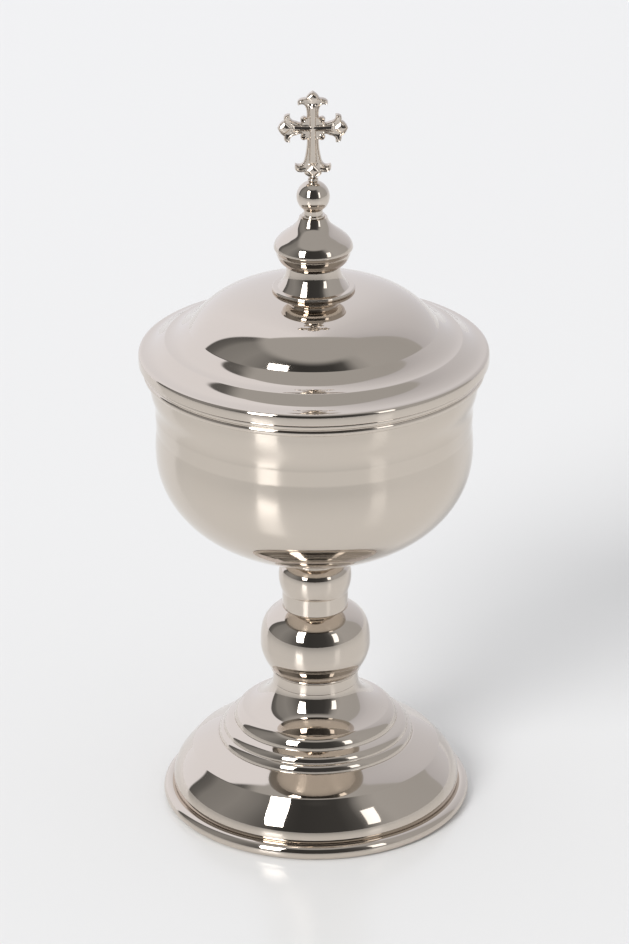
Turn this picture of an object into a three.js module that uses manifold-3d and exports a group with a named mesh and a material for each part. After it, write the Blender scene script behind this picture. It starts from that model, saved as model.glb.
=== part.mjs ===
// A covered cup on a turned stem: a spun foot, a knop, a wide cup, and a domed lid with a cross.
// Millimetres, +Z up. The origin is on the table under the middle of the foot, and the cross faces -Y.
// Nearly every piece is turned or spun, so it is an outline of radius and height swept round the axis.

import * as THREE from 'three';
import { mergeVertices } from 'three/addons/utils/BufferGeometryUtils.js';
import Module from 'manifold-3d';

// Fits between pieces, measured on the radius.
const ROD_CLEARANCE = 0.2; // a rod in its hole
const SOLDER_GAP = 0.1; // a ring round the wall that it is soldered to
const LID_PLAY = 0.6; // the lid's bezel inside the cup's mouth

// Facets round the axis, and how far a finished outline may stand off the drawn curve.
const AROUND_WIDE = 32;
const AROUND_STEM = 20;
const AROUND_SMALL = 12;
const OUTLINE_TOLERANCE = 0.12;
const INNER_TOLERANCE = 0.4;

// The rod that pulls the stem together, with its nut and washer under the foot.
const TIE_ROD = { radius: 3, belowNut: 2.4, inSocket: 9.5 };
const TIE_NUT = { acrossFlats: 10, height: 5 };
const FOOT_WASHER = { radius: 11.5, rimWidth: 2, middleRadius: 7, thickness: 1.6, dish: 0.8 };

// The neck where the foot ends and the collar follows.
const NECK_RADIUS = 16.4;

// The foot's edge: a bead with a flat to stand on and a ledge inside that carries the foot's sheet.
const FOOT_RING = { radius: 58.8, tube: 2.8, flat: 1.6, ledge: 2.4, lip: 0.2 };

// The foot, from its edge inward and up: an upright wall that rolls over, two quarter-round steps, a
// shallow bead, and a cove that sweeps up to the neck.
const FOOT = {
  sheet: 1.2,
  edgeInset: 4.2,
  upright: 2.8,
  bulge: 0.3,
  bulgeRise: 2.6,
  wallRise: 17.9,
  bendRadius: 47.3,
  bendRise: 12.6,
  ledgeWidth: 0.4,
  lowerStepWidth: 1.8,
  lowerStepRise: 2.9,
  stepQuirk: 0.2,
  upperStepWidth: 1.7,
  upperStepRise: 2.6,
  filletWidth: 2.3,
  filletRise: 1.0,
  beadWidth: 3.3,
  beadRise: 4.7,
  coveWidth: 11.6,
  coveRise: 11.6,
};

// Curves of the outlines: the slope that each leaves and arrives with, in degrees, 0 outward and 90 up, and
// how far it keeps to those slopes, as a share of the distance between its ends.
const FOOT_EDGE = { leaving: 70, arriving: 90, fullness: 0.3 };
const FOOT_ROLL = { leaving: 90, arriving: 132, fullness: 0.33 };
const FOOT_SLOPE = { leaving: 147, arriving: 152, fullness: 0.33 };
const FOOT_STEP = { leaving: 95, arriving: 148, fullness: 0.42 };
const FOOT_BEAD = { leaving: 95, arriving: 150, fullness: 0.42 };
const FOOT_COVE = { leaving: 168, arriving: 92, fullness: 0.5 };
const KNOP_BELOW = { leaving: 54, arriving: 90, fullness: 0.33 };
const KNOP_ABOVE = { leaving: 90, arriving: 135, fullness: 0.44 };
const COLLAR_BELOW = { leaving: 66, arriving: 90, fullness: 0.3 };
const COLLAR_ABOVE = { leaving: 90, arriving: 150, fullness: 0.43 };
const CUP_SHOULDER = { leaving: 90, arriving: 140, fullness: 0.45 };
const CUP_FLARE = { leaving: 60, arriving: 92, fullness: 0.34 };
const LID_EDGE_ROUND = { leaving: 92, arriving: 172, fullness: 0.5 };
const LID_OUTER_COVE = { leaving: 174, arriving: 146, fullness: 0.4 };
const LID_INNER_COVE = { leaving: 174, arriving: 144, fullness: 0.4 };
const LID_DOME = { leaving: 126, arriving: 176, fullness: 0.38 };
const KNOB_COVE = { leaving: 125, arriving: 95, fullness: 0.5 };
const ONION_UNDERCUT = { leaving: 25, arriving: 82, fullness: 0.38 };
const ONION_SHOULDER = { leaving: 96, arriving: 143, fullness: 0.36 };
const ONION_OGEE = { leaving: 143, arriving: 96, fullness: 0.65 };

// The stem's turned pieces, from below.
const LOWER_COLLAR = { height: 5.3, waistInset: 0.2, waistRise: 1.6, filletRise: 4.1, filletWidth: 0.6 };
const KNOP = { height: 25.4, footRadius: 17.0, radius: 20.9, widestRise: 10.2, topRadius: 12.5 };
const UPPER_COLLAR = {
  neckRise: 6.4,
  bulgeRadius: 13.8,
  bulgeRise: 7.4,
  crownRise: 4.7,
  crownRadius: 10.9,
  throatRadius: 10.3,
  throatRise: 5.6,
};
const SOCKET = { radius: 7.6, height: 12, floor: 2 };

// The cup: a full oval belly, an upright side, a shoulder with a neck over it, and a flare up to the mouth.
const CUP = {
  sheet: 1.2,
  seatRadius: 10.3,
  bellyRadius: 59.4,
  bellyDrop: 42.4,
  bellyPower: 2.13,
  side: 8.0,
  neckDepth: 4.6,
  neckRise: 2.6,
  flareRise: 18.1,
  mouthRadius: 61.1,
  lip: 6.0,
};
const CUP_RING = { width: 2.3, height: 4.9, beadDepth: 0.9, notchAngle: 60 };

// The lid, from its edge inward and up: an upright edge that rounds over, two shallow coves and the dome.
const LID = {
  sheet: 1.2,
  overhang: 1.6,
  edge: 2.0,
  edgeEase: 0.3,
  edgeRoundWidth: 1.5,
  edgeRoundRise: 2.4,
  outerCoveWidth: 8.4,
  outerCoveRise: 4.2,
  innerCoveWidth: 9.0,
  innerCoveRise: 4.6,
  domeRise: 14.4,
};
const BEZEL = { sheet: 1.2, depth: 8 };

// The knob on the lid, from below: a base ring, a cove, an onion with an undercut, and a ball.
const BASE_RING = { radius: 15.4, height: 1.5, rounding: 0.6 };
const COVE = { footRadius: 13.2, waistRadius: 9.9, height: 7.9 };
const ONION = {
  footInset: 0.3,
  edgeRadius: 13.8,
  edgeRise: 5.7,
  radius: 14.4,
  radiusRise: 1.4,
  shoulderRadius: 10.9,
  shoulderRise: 5.1,
  neckRadius: 5.1,
  neckRise: 6.8,
};
const BALL = { radius: 5.8, discRadius: 4.3, discHeight: 0.9, neckRadius: 3.5, topRadius: 1.7, centre: 8.1 };
const CROSS_COLLAR = { radius: 1.95, height: 1.4, rounding: 0.6 };

// The bolt that holds the knob, with its nut and washer inside the lid.
const KNOB_BOLT = { radius: 2, belowNut: 1.6, intoBall: 7 };
const KNOB_NUT = { acrossFlats: 7, height: 3.2 };
const LID_WASHER = { radius: 6, thickness: 1 };

// The cast cross: a plate with a ridge along each arm, a round scroll in each corner and a pin below.
const CROSS = {
  armHalfWidth: 2.2,
  plate: 1.7,
  ridge: 0.55,
  ridgeWidth: 2.6,
  scrollPlace: 3.3,
  scrollRadius: 1.3,
  pinRadius: 0.8,
  pinLength: 3.4,
};
// One side of each arm's end, as distances along the arm and out from its middle line: the hollow before the
// leaf, the leaf's curled tip, its back, the shoulder behind it, and the bud. Between them stand the points
// that pull the curves.
const TOP_ARM = {
  hollow: [6.6, 2.3],
  hollowPull: [10.0, 2.7],
  leafTip: [8.6, 5.3],
  leafPull: [11.5, 6.4],
  shoulder: [11.7, 2.4],
  budPull: [12.9, 2.0],
  end: [14.1, 0.15],
};
const SIDE_ARM = {
  hollow: [6.0, 2.7],
  hollowPull: [8.6, 3.0],
  leafTip: [8.2, 5.4],
  leafPull: [10.9, 5.8],
  shoulder: [10.5, 3.0],
  budPull: [11.8, 2.5],
  end: [12.8, 0.15],
};
const FOOT_ARM = {
  hollow: [11.7, 3.1],
  hollowPull: [14.6, 3.7],
  leafTip: [13.2, 6.4],
  leafPull: [16.6, 7.5],
  shoulder: [16.7, 3.4],
  budPull: [18.2, 3.0],
  end: [19.0, 0.9],
};

// Points drawn along each curve, before an outline is thinned.
const CURVE_STEPS = 20;

// A point of a turned outline: its distance from the axis and its height.
const at = (radius, height) => new THREE.Vector2(radius, height);

// A smooth stretch between two points, with the slopes and fullness of a named curve.
function sweep(from, to, curve) {
  const pull = from.distanceTo(to) * curve.fullness;
  const along = (degrees) => {
    const angle = THREE.MathUtils.degToRad(degrees);
    return at(Math.cos(angle), Math.sin(angle)).multiplyScalar(pull);
  };
  const first = from.clone().add(along(curve.leaving));
  const second = to.clone().sub(along(curve.arriving));
  return new THREE.CubicBezierCurve(from, first, second, to).getPoints(CURVE_STEPS);
}

// A stretch of an oval, between two angles in degrees, 0 outward and 90 up.
function oval(centre, across, up, fromDegrees, toDegrees) {
  const from = THREE.MathUtils.degToRad(fromDegrees);
  const to = THREE.MathUtils.degToRad(toDegrees);
  const curve = new THREE.EllipseCurve(centre.x, centre.y, across, up, from, to, to < from);
  return curve.getPoints(CURVE_STEPS);
}

// One outline from several stretches and points, without the points that two stretches share. The ends of
// the stretches are its corners.
function outlineOf(...stretches) {
  const same = 0.02;
  const points = [];
  for (const stretch of stretches) {
    const part = [stretch].flat();
    part[0].isCorner = true;
    part[part.length - 1].isCorner = true;
    for (const point of part) {
      const last = points[points.length - 1];
      if (!last || last.distanceTo(point) > same) points.push(point);
    }
  }
  return points;
}

function distanceToOutline(point, outline) {
  let nearest = Infinity;
  for (let i = 1; i < outline.length; i++) {
    const [start, end] = [outline[i - 1], outline[i]];
    const span = end.clone().sub(start);
    const share = point.clone().sub(start).dot(span) / span.lengthSq();
    const foot = start.clone().addScaledVector(span, THREE.MathUtils.clamp(share, 0, 1));
    nearest = Math.min(nearest, foot.distanceTo(point));
  }
  return nearest;
}

// The same line with fewer points, nowhere further from the first than the tolerance. Corners are kept.
function thinned(points, tolerance) {
  const ends = [points[0], points[points.length - 1]];
  const away = points.map((point) => distanceToOutline(point, ends));
  points.slice(1, -1).forEach((point, i) => {
    if (point.isCorner) away[i + 1] = Infinity;
  });
  const furthest = Math.max(...away);
  if (furthest <= tolerance) return ends;
  const split = away.indexOf(furthest);
  const start = thinned(points.slice(0, split + 1), tolerance);
  return [...start.slice(0, -1), ...thinned(points.slice(split), tolerance)];
}

// The inner side of a sheet that follows an outline whose inside is on its left. Where a bead is too tight
// for the sheet's thickness, the inner side bridges it.
function insideOf(outline, sheet) {
  const leastShare = 0.97;
  const sharpestMitre = 0.6;
  const inner = [];
  outline.forEach((point, i) => {
    const before = outline[Math.max(i - 1, 0)];
    const after = outline[Math.min(i + 1, outline.length - 1)];
    const incoming = (i > 0 ? point.clone().sub(before) : after.clone().sub(point)).normalize();
    const outgoing = (i < outline.length - 1 ? after.clone().sub(point) : incoming.clone()).normalize();
    const middle = incoming.clone().add(outgoing).normalize();
    const mitre = sheet / Math.max(middle.dot(incoming), sharpestMitre);
    const moved = at(point.x - middle.y * mitre, point.y + middle.x * mitre);
    moved.isCorner = point.isCorner;
    const isEnd = i === 0 || i === outline.length - 1;
    const isClear = distanceToOutline(moved, outline) > sheet * leastShare;
    if (isEnd || isClear) inner.push(moved);
  });
  return thinned(inner, INNER_TOLERANCE);
}

// Sweeps an outline round the axis. One that starts and ends on the axis is solid, and any other is closed
// on itself, as a ring.
function turned(outline, around) {
  const onAxis = outline[0].x === 0 && outline[outline.length - 1].x === 0;
  const points = thinned(outline, OUTLINE_TOLERANCE);
  const profile = onAxis ? points : [...points, points[0].clone()];
  return new THREE.LatheGeometry(profile, around).rotateX(Math.PI / 2);
}

// A spun sheet: the outline, and its inner side back again.
function spun(outline, sheet, around) {
  const outside = thinned(outline, OUTLINE_TOLERANCE);
  return turned([...outside, ...insideOf(outline, sheet).reverse()], around);
}

// A turned piece with a straight hole through it.
function bored(outline, boreRadius, around) {
  const bottom = outline[0].y;
  const top = outline[outline.length - 1].y;
  return turned([at(boreRadius, bottom), ...outline, at(boreRadius, top)], around);
}

function rod(radius, length) {
  return turned([at(0, 0), at(radius, 0), at(radius, length), at(0, length)], AROUND_SMALL);
}

function hexNut(nut, boreRadius) {
  const corner = nut.acrossFlats / Math.sqrt(3);
  const shape = new THREE.Shape();
  for (let i = 0; i < 6; i++) {
    const angle = (i * Math.PI) / 3;
    const [x, y] = [corner * Math.cos(angle), corner * Math.sin(angle)];
    if (i === 0) shape.moveTo(x, y);
    else shape.lineTo(x, y);
  }
  shape.closePath();
  shape.holes.push(new THREE.Path().absarc(0, 0, boreRadius, 0, 2 * Math.PI));
  const curveSegments = AROUND_SMALL / 2;
  return new THREE.ExtrudeGeometry(shape, { depth: nut.height, bevelEnabled: false, curveSegments });
}

const rodHole = TIE_ROD.radius + ROD_CLEARANCE;
const boltHole = KNOB_BOLT.radius + ROD_CLEARANCE;
const pinHole = CROSS.pinRadius + ROD_CLEARANCE;

// Radii of the foot's edges, from the neck outward and from the ring inward.
const beadInner = NECK_RADIUS + FOOT.coveWidth;
const beadOuter = beadInner + FOOT.beadWidth;
const upperStepIn = beadOuter + FOOT.filletWidth;
const upperStep = upperStepIn + FOOT.upperStepWidth;
const lowerStepIn = upperStep + FOOT.stepQuirk;
const lowerStep = lowerStepIn + FOOT.lowerStepWidth;
const footWall = FOOT_RING.radius - FOOT.edgeInset;

// Heights of the foot's edges.
const wallFoot = FOOT_RING.ledge + FOOT.upright;
const widest = wallFoot + FOOT.bulgeRise;
const wallTop = widest + FOOT.wallRise;
const lowerStepTop = wallTop + FOOT.lowerStepRise;
const upperStepTop = lowerStepTop + FOOT.upperStepRise;
const filletTop = upperStepTop + FOOT.filletRise;
const beadTop = filletTop + FOOT.beadRise;
const footTop = beadTop + FOOT.coveRise;

// The bead ring that the foot stands on. Its round section is cut flat below and rebated inside.
function footRing() {
  const halfFlat = FOOT_RING.flat / 2;
  const centre = at(FOOT_RING.radius - FOOT_RING.tube, Math.sqrt(FOOT_RING.tube ** 2 - halfFlat ** 2));
  const rebate = footWall + SOLDER_GAP;
  const flatAngle = -THREE.MathUtils.radToDeg(Math.acos(halfFlat / FOOT_RING.tube));
  const rebateAngle = THREE.MathUtils.radToDeg(Math.acos((rebate - centre.x) / FOOT_RING.tube));
  const inner = footWall - FOOT.sheet - FOOT_RING.lip;
  const bead = oval(centre, FOOT_RING.tube, FOOT_RING.tube, flatAngle, rebateAngle);
  const section = [at(inner, 0), ...bead, at(rebate, FOOT_RING.ledge), at(inner, FOOT_RING.ledge)];
  return turned(section, AROUND_WIDE);
}

// The foot's outside, from the edge on the ring's ledge to the rod's hole in the crown.
function footOutline() {
  const bulge = at(footWall + FOOT.bulge, widest);
  const bend = at(FOOT.bendRadius, widest + FOOT.bendRise);
  return outlineOf(
    at(footWall, FOOT_RING.ledge),
    sweep(at(footWall, wallFoot), bulge, FOOT_EDGE),
    sweep(bulge, bend, FOOT_ROLL),
    sweep(bend, at(lowerStep + FOOT.ledgeWidth, wallTop), FOOT_SLOPE),
    sweep(at(lowerStep, wallTop), at(lowerStepIn, lowerStepTop), FOOT_STEP),
    sweep(at(upperStep, lowerStepTop), at(upperStepIn, upperStepTop), FOOT_STEP),
    sweep(at(beadOuter, filletTop), at(beadInner, beadTop), FOOT_BEAD),
    sweep(at(beadInner, beadTop), at(NECK_RADIUS, footTop), FOOT_COVE),
    at(rodHole, footTop),
  );
}

// The collar between foot and knop: a short hollow with a small round fillet on top.
function lowerCollar() {
  const waist = at(NECK_RADIUS - LOWER_COLLAR.waistInset, LOWER_COLLAR.waistRise);
  const halfFillet = (LOWER_COLLAR.height - LOWER_COLLAR.filletRise) / 2;
  const filletCentre = at(NECK_RADIUS, LOWER_COLLAR.height - halfFillet);
  const outline = outlineOf(
    at(NECK_RADIUS, 0),
    waist,
    at(NECK_RADIUS, LOWER_COLLAR.filletRise),
    oval(filletCentre, LOWER_COLLAR.filletWidth, halfFillet, -90, 90),
  );
  return bored(outline, rodHole, AROUND_STEM);
}

// The pear of the stem, fullest below its middle.
function knop() {
  const widestPoint = at(KNOP.radius, KNOP.widestRise);
  const outline = outlineOf(
    sweep(at(KNOP.footRadius, 0), widestPoint, KNOP_BELOW),
    sweep(widestPoint, at(KNOP.topRadius, KNOP.height), KNOP_ABOVE),
  );
  return bored(outline, rodHole, AROUND_STEM);
}

// The collar under the cup: a plain neck that swells into a full round, and a throat that carries the cup.
// The socket sits in its bore.
const socketHole = SOCKET.radius + SOLDER_GAP;
const bulgeHeight = UPPER_COLLAR.neckRise + UPPER_COLLAR.bulgeRise;
const crownHeight = bulgeHeight + UPPER_COLLAR.crownRise;
const collarHeight = crownHeight + UPPER_COLLAR.throatRise;
function upperCollar() {
  const neck = at(KNOP.topRadius, UPPER_COLLAR.neckRise);
  const bulge = at(UPPER_COLLAR.bulgeRadius, bulgeHeight);
  const floor = collarHeight - SOCKET.height - SOLDER_GAP;
  const outline = outlineOf(
    at(rodHole, 0),
    at(KNOP.topRadius, 0),
    sweep(neck, bulge, COLLAR_BELOW),
    sweep(bulge, at(UPPER_COLLAR.crownRadius, crownHeight), COLLAR_ABOVE),
    at(UPPER_COLLAR.throatRadius, crownHeight),
    at(UPPER_COLLAR.throatRadius, collarHeight),
    at(socketHole, collarHeight),
    at(socketHole, floor),
    at(rodHole, floor),
  );
  return turned(outline, AROUND_STEM);
}

// The socket is soldered under the cup and takes the end of the rod.
function socket() {
  const ceiling = SOCKET.height - SOCKET.floor;
  const profile = [
    at(0, ceiling),
    at(rodHole, ceiling),
    at(rodHole, 0),
    at(SOCKET.radius, 0),
    at(SOCKET.radius, SOCKET.height),
    at(0, SOCKET.height),
  ];
  return turned(profile, AROUND_STEM);
}

// The belly is a quarter of an oval with fuller corners than an ellipse's, cut flat at the seat.
const seatShare = (CUP.seatRadius / CUP.bellyRadius) ** CUP.bellyPower;
const bellyDepth = CUP.bellyDrop * (1 - seatShare) ** (1 / CUP.bellyPower);
function belly() {
  const points = [];
  const seatAngle = Math.acos(Math.sqrt(seatShare));
  for (let i = 0; i <= CURVE_STEPS; i++) {
    const angle = seatAngle * (1 - i / CURVE_STEPS);
    const radius = CUP.bellyRadius * Math.cos(angle) ** (2 / CUP.bellyPower);
    points.push(at(radius, bellyDepth - CUP.bellyDrop * Math.sin(angle) ** (2 / CUP.bellyPower)));
  }
  return points;
}

// Heights of the cup's edges, from its seat on the collar.
const sideTop = bellyDepth + CUP.side;
const neckTop = sideTop + CUP.neckRise;
const flareTop = neckTop + CUP.flareRise;
const cupHeight = flareTop + CUP.lip;

function cup() {
  const side = at(CUP.bellyRadius, sideTop);
  const neck = at(CUP.bellyRadius - CUP.neckDepth, neckTop);
  const outline = outlineOf(
    at(0, 0),
    at(CUP.seatRadius, 0),
    belly(),
    sweep(side, neck, CUP_SHOULDER),
    sweep(neck, at(CUP.mouthRadius, flareTop), CUP_FLARE),
    at(CUP.mouthRadius, cupHeight),
  );
  return spun(outline, CUP.sheet, AROUND_WIDE);
}

// The ring round the mouth: two half-round beads with a notch between them, flat on top for the lid.
const cupRingInner = CUP.mouthRadius + SOLDER_GAP;
const cupRingRadius = cupRingInner + CUP_RING.width;
function cupRing() {
  const quarter = CUP_RING.height / 4;
  const core = cupRingRadius - CUP_RING.beadDepth;
  const lower = oval(at(core, quarter), CUP_RING.beadDepth, quarter, -90, CUP_RING.notchAngle);
  const upper = oval(at(core, 3 * quarter), CUP_RING.beadDepth, quarter, -CUP_RING.notchAngle, 90);
  const section = [at(cupRingInner, 0), ...lower, ...upper, at(cupRingInner, CUP_RING.height)];
  return turned(section, AROUND_WIDE);
}

// Radii and heights of the lid's edges, from the face that rests on the cup.
const lidRadius = cupRingRadius + LID.overhang;
const outerCoveFoot = lidRadius - LID.edgeRoundWidth;
const innerCoveFoot = outerCoveFoot - LID.outerCoveWidth;
const domeFoot = innerCoveFoot - LID.innerCoveWidth;
const outerCoveStart = LID.edge + LID.edgeRoundRise;
const innerCoveStart = outerCoveStart + LID.outerCoveRise;
const domeStart = innerCoveStart + LID.innerCoveRise;
const lidHeight = domeStart + LID.domeRise;

function lid() {
  const outline = outlineOf(
    at(lidRadius - LID.edgeEase, 0),
    at(lidRadius, LID.edgeEase),
    sweep(at(lidRadius, LID.edge), at(outerCoveFoot, outerCoveStart), LID_EDGE_ROUND),
    sweep(at(outerCoveFoot, outerCoveStart), at(innerCoveFoot, innerCoveStart), LID_OUTER_COVE),
    sweep(at(innerCoveFoot, innerCoveStart), at(domeFoot, domeStart), LID_INNER_COVE),
    sweep(at(domeFoot, domeStart), at(BASE_RING.radius, lidHeight), LID_DOME),
    at(boltHole, lidHeight),
  );
  return spun(outline, LID.sheet, AROUND_WIDE);
}

// The angle ring inside the lid: one leg rests on the cup's mouth, and the other drops inside it.
function bezel() {
  const outer = lidRadius - LID.edgeEase - LID.sheet - SOLDER_GAP;
  const skirt = CUP.mouthRadius - CUP.sheet - LID_PLAY;
  const inner = skirt - BEZEL.sheet;
  const section = [
    at(inner, -BEZEL.depth),
    at(skirt, -BEZEL.depth),
    at(skirt, 0),
    at(outer, 0),
    at(outer, BEZEL.sheet),
    at(inner, BEZEL.sheet),
  ];
  return turned(section, AROUND_WIDE);
}

// A flat ring with a rounded edge.
function roundedRing(ring, boreRadius, around) {
  const half = ring.height / 2;
  const edge = oval(at(ring.radius - ring.rounding, half), ring.rounding, half, -90, 90);
  return bored(edge, boreRadius, around);
}

function knobCove() {
  const outline = sweep(at(COVE.footRadius, 0), at(COVE.waistRadius, COVE.height), KNOB_COVE);
  return bored(outline, boltHole, AROUND_STEM);
}

// The onion: an undercut, a small edge, a full shoulder and an ogee up to its slender top.
const onionWidest = ONION.edgeRise + ONION.radiusRise;
const onionHeight = onionWidest + ONION.shoulderRise + ONION.neckRise;
function onion() {
  const full = at(ONION.radius, onionWidest);
  const shoulder = at(ONION.shoulderRadius, onionWidest + ONION.shoulderRise);
  const foot = at(COVE.waistRadius - ONION.footInset, 0);
  const outline = outlineOf(
    sweep(foot, at(ONION.edgeRadius, ONION.edgeRise), ONION_UNDERCUT),
    sweep(full, shoulder, ONION_SHOULDER),
    sweep(shoulder, at(ONION.neckRadius, onionHeight), ONION_OGEE),
  );
  return bored(outline, boltHole, AROUND_STEM);
}

// The ball with the small disc and neck under it. The bolt ends in its blind hole.
const ballTop = BALL.centre + Math.sqrt(BALL.radius ** 2 - BALL.topRadius ** 2);
function ball() {
  const neckHeight = BALL.centre - Math.sqrt(BALL.radius ** 2 - BALL.neckRadius ** 2);
  const neckAngle = -THREE.MathUtils.radToDeg(Math.acos(BALL.neckRadius / BALL.radius));
  const topAngle = THREE.MathUtils.radToDeg(Math.acos(BALL.topRadius / BALL.radius));
  const pinFloor = ballTop - CROSS.pinLength + CROSS_COLLAR.height - ROD_CLEARANCE;
  const outline = outlineOf(
    at(0, KNOB_BOLT.intoBall + ROD_CLEARANCE),
    at(boltHole, KNOB_BOLT.intoBall + ROD_CLEARANCE),
    at(boltHole, 0),
    at(BALL.discRadius, 0),
    at(BALL.discRadius, BALL.discHeight),
    at(BALL.neckRadius, BALL.discHeight),
    at(BALL.neckRadius, neckHeight),
    oval(at(0, BALL.centre), BALL.radius, BALL.radius, neckAngle, topAngle),
    at(pinHole, ballTop),
    at(pinHole, pinFloor),
    at(0, pinFloor),
  );
  return turned(outline, AROUND_SMALL);
}

// Where the arms' edges start, clear of the scrolls in the corners.
const SCROLL_OPENING = 36;
const armStart = CROSS.scrollPlace + CROSS.scrollRadius * Math.cos(THREE.MathUtils.degToRad(SCROLL_OPENING));

// One edge of an arm, from near the middle to its end: along the arm, out to the leaf's curled tip, back
// over the leaf to the shoulder, and round the bud.
function armEdge(arm) {
  const half = CROSS.armHalfWidth;
  const curve = (from, pull, to, steps) => {
    const points = [from, pull, to].map(([along, out]) => at(along, out));
    return new THREE.QuadraticBezierCurve(...points).getPoints(steps);
  };
  return outlineOf(
    curve([armStart, half], [(armStart + arm.hollow[0]) / 2, half], arm.hollow, 2),
    curve(arm.hollow, arm.hollowPull, arm.leafTip, 4),
    curve(arm.leafTip, arm.leafPull, arm.shoulder, 4),
    curve(arm.shoulder, arm.budPull, arm.end, 3),
  );
}

// The cross's outline, counterclockwise: for each arm one edge out and the other back, then the round of
// the scroll in the corner.
function crossShape() {
  const points = [];
  const arms = [SIDE_ARM, TOP_ARM, SIDE_ARM, FOOT_ARM];
  const place = at(CROSS.scrollPlace, CROSS.scrollPlace);
  const scroll = new THREE.EllipseCurve(
    place.x,
    place.y,
    CROSS.scrollRadius,
    CROSS.scrollRadius,
    -THREE.MathUtils.degToRad(SCROLL_OPENING),
    THREE.MathUtils.degToRad(90 + SCROLL_OPENING),
  ).getPoints(5);
  const origin = at(0, 0);
  arms.forEach((arm, i) => {
    const edge = armEdge(arm);
    const right = edge.map((point) => at(point.x, -point.y));
    const left = edge.slice().reverse();
    for (const point of [...right, ...left, ...scroll]) {
      points.push(point.clone().rotateAround(origin, (i * Math.PI) / 2));
    }
  });
  return new THREE.Shape(points);
}

const wasm = await Module();
wasm.setup();

// A closed geometry as a solid that can be joined to another.
function solidOf(geometry) {
  const bare = geometry.clone();
  bare.deleteAttribute('normal');
  bare.deleteAttribute('uv');
  const merged = mergeVertices(bare);
  const vertProperties = new Float32Array(merged.attributes.position.array);
  const triVerts = new Uint32Array(merged.index.array);
  return new wasm.Manifold(new wasm.Mesh({ numProp: 3, vertProperties, triVerts }));
}

function geometryOf(solid) {
  const mesh = solid.getMesh();
  const geometry = new THREE.BufferGeometry();
  geometry.setAttribute('position', new THREE.BufferAttribute(new Float32Array(mesh.vertProperties), 3));
  geometry.setIndex(new THREE.BufferAttribute(new Uint32Array(mesh.triVerts), 1));
  geometry.computeVertexNormals();
  return geometry;
}

// A bar of diamond section, so that its edge shows as a ridge on both faces of the cross.
function ridgeBar(length) {
  const halfDepth = CROSS.plate / 2 + CROSS.ridge;
  const section = new THREE.Shape([
    at(CROSS.ridgeWidth / 2, 0),
    at(0, halfDepth),
    at(-CROSS.ridgeWidth / 2, 0),
    at(0, -halfDepth),
  ]);
  return new THREE.ExtrudeGeometry(section, { depth: length, bevelEnabled: false });
}

// The cross stands in the XZ plane with its middle at the origin. Its pin reaches down into the ball.
const [crossDepth, crossEndHalf] = FOOT_ARM.end;
function cross() {
  const plate = new THREE.ExtrudeGeometry(crossShape(), { depth: CROSS.plate, bevelEnabled: false });
  plate.translate(0, 0, -CROSS.plate / 2).rotateX(Math.PI / 2);
  const [topRidge, sideRidge, footRidge] = [TOP_ARM, SIDE_ARM, FOOT_ARM].map((arm) => arm.shoulder[0]);
  const upright = ridgeBar(topRidge + footRidge).translate(0, 0, -footRidge);
  const level = ridgeBar(2 * sideRidge).translate(0, 0, -sideRidge).rotateY(Math.PI / 2);
  const pinStart = crossDepth - 2 * crossEndHalf;
  const pinFoot = crossDepth + CROSS.pinLength;
  const pin = rod(CROSS.pinRadius, pinFoot - pinStart).translate(0, 0, -pinFoot);
  const solid = [upright, level, pin].reduce((whole, piece) => whole.add(solidOf(piece)), solidOf(plate));
  return geometryOf(solid);
}

// A dished washer: its rim bears on the crown's underside, and its middle on the nut.
function footWasher() {
  const { radius, rimWidth, middleRadius, thickness, dish } = FOOT_WASHER;
  const outline = [
    at(rodHole, -thickness - dish),
    at(middleRadius, -thickness - dish),
    at(radius, -thickness),
    at(radius, 0),
    at(radius - rimWidth, 0),
    at(middleRadius, -dish),
    at(rodHole, -dish),
  ];
  return turned(outline, AROUND_STEM);
}

function lidWasher() {
  const rim = [at(LID_WASHER.radius, 0), at(LID_WASHER.radius, LID_WASHER.thickness)];
  return bored(rim, boltHole, AROUND_SMALL);
}

function metal(color, roughness) {
  return new THREE.MeshStandardMaterial({ color, roughness, metalness: 1 });
}
const NICKEL = 0xd2ccc6;
const STEEL = 0xa9abad;
const POLISH = 0.06;
const SATIN = 0.16;
const MILLED = 0.45;

function addPiece(group, name, geometry, height, color, roughness) {
  const piece = new THREE.Mesh(geometry, metal(color, roughness));
  piece.name = name;
  piece.position.z = height;
  group.add(piece);
}

// Heights at which the pieces stand, from the table.
const knopSeat = footTop + LOWER_COLLAR.height;
const collarSeat = knopSeat + KNOP.height;
const cupSeat = collarSeat + collarHeight;
const lidSeat = cupSeat + cupHeight;
const crownUnderside = footTop - FOOT.sheet;
const tieNutTop = crownUnderside - FOOT_WASHER.thickness - FOOT_WASHER.dish;
const tieRodFoot = tieNutTop - TIE_NUT.height - TIE_ROD.belowNut;
const tieRodTop = cupSeat - SOCKET.height + TIE_ROD.inSocket;

const vessel = new THREE.Group();
addPiece(vessel, 'foot_rim_ring', footRing(), 0, NICKEL, POLISH);
addPiece(vessel, 'foot', spun(footOutline(), FOOT.sheet, AROUND_WIDE), 0, NICKEL, POLISH);
addPiece(vessel, 'stem_lower_collar', lowerCollar(), footTop, NICKEL, POLISH);
addPiece(vessel, 'knop', knop(), knopSeat, NICKEL, POLISH);
addPiece(vessel, 'stem_upper_collar', upperCollar(), collarSeat, NICKEL, POLISH);
addPiece(vessel, 'cup_socket', socket(), cupSeat - SOCKET.height, NICKEL, MILLED);
addPiece(vessel, 'cup', cup(), cupSeat, NICKEL, SATIN);
addPiece(vessel, 'cup_rim_ring', cupRing(), lidSeat - CUP_RING.height, NICKEL, POLISH);
addPiece(vessel, 'tie_rod', rod(TIE_ROD.radius, tieRodTop - tieRodFoot), tieRodFoot, STEEL, MILLED);
addPiece(vessel, 'foot_washer', footWasher(), crownUnderside, STEEL, MILLED);
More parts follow.
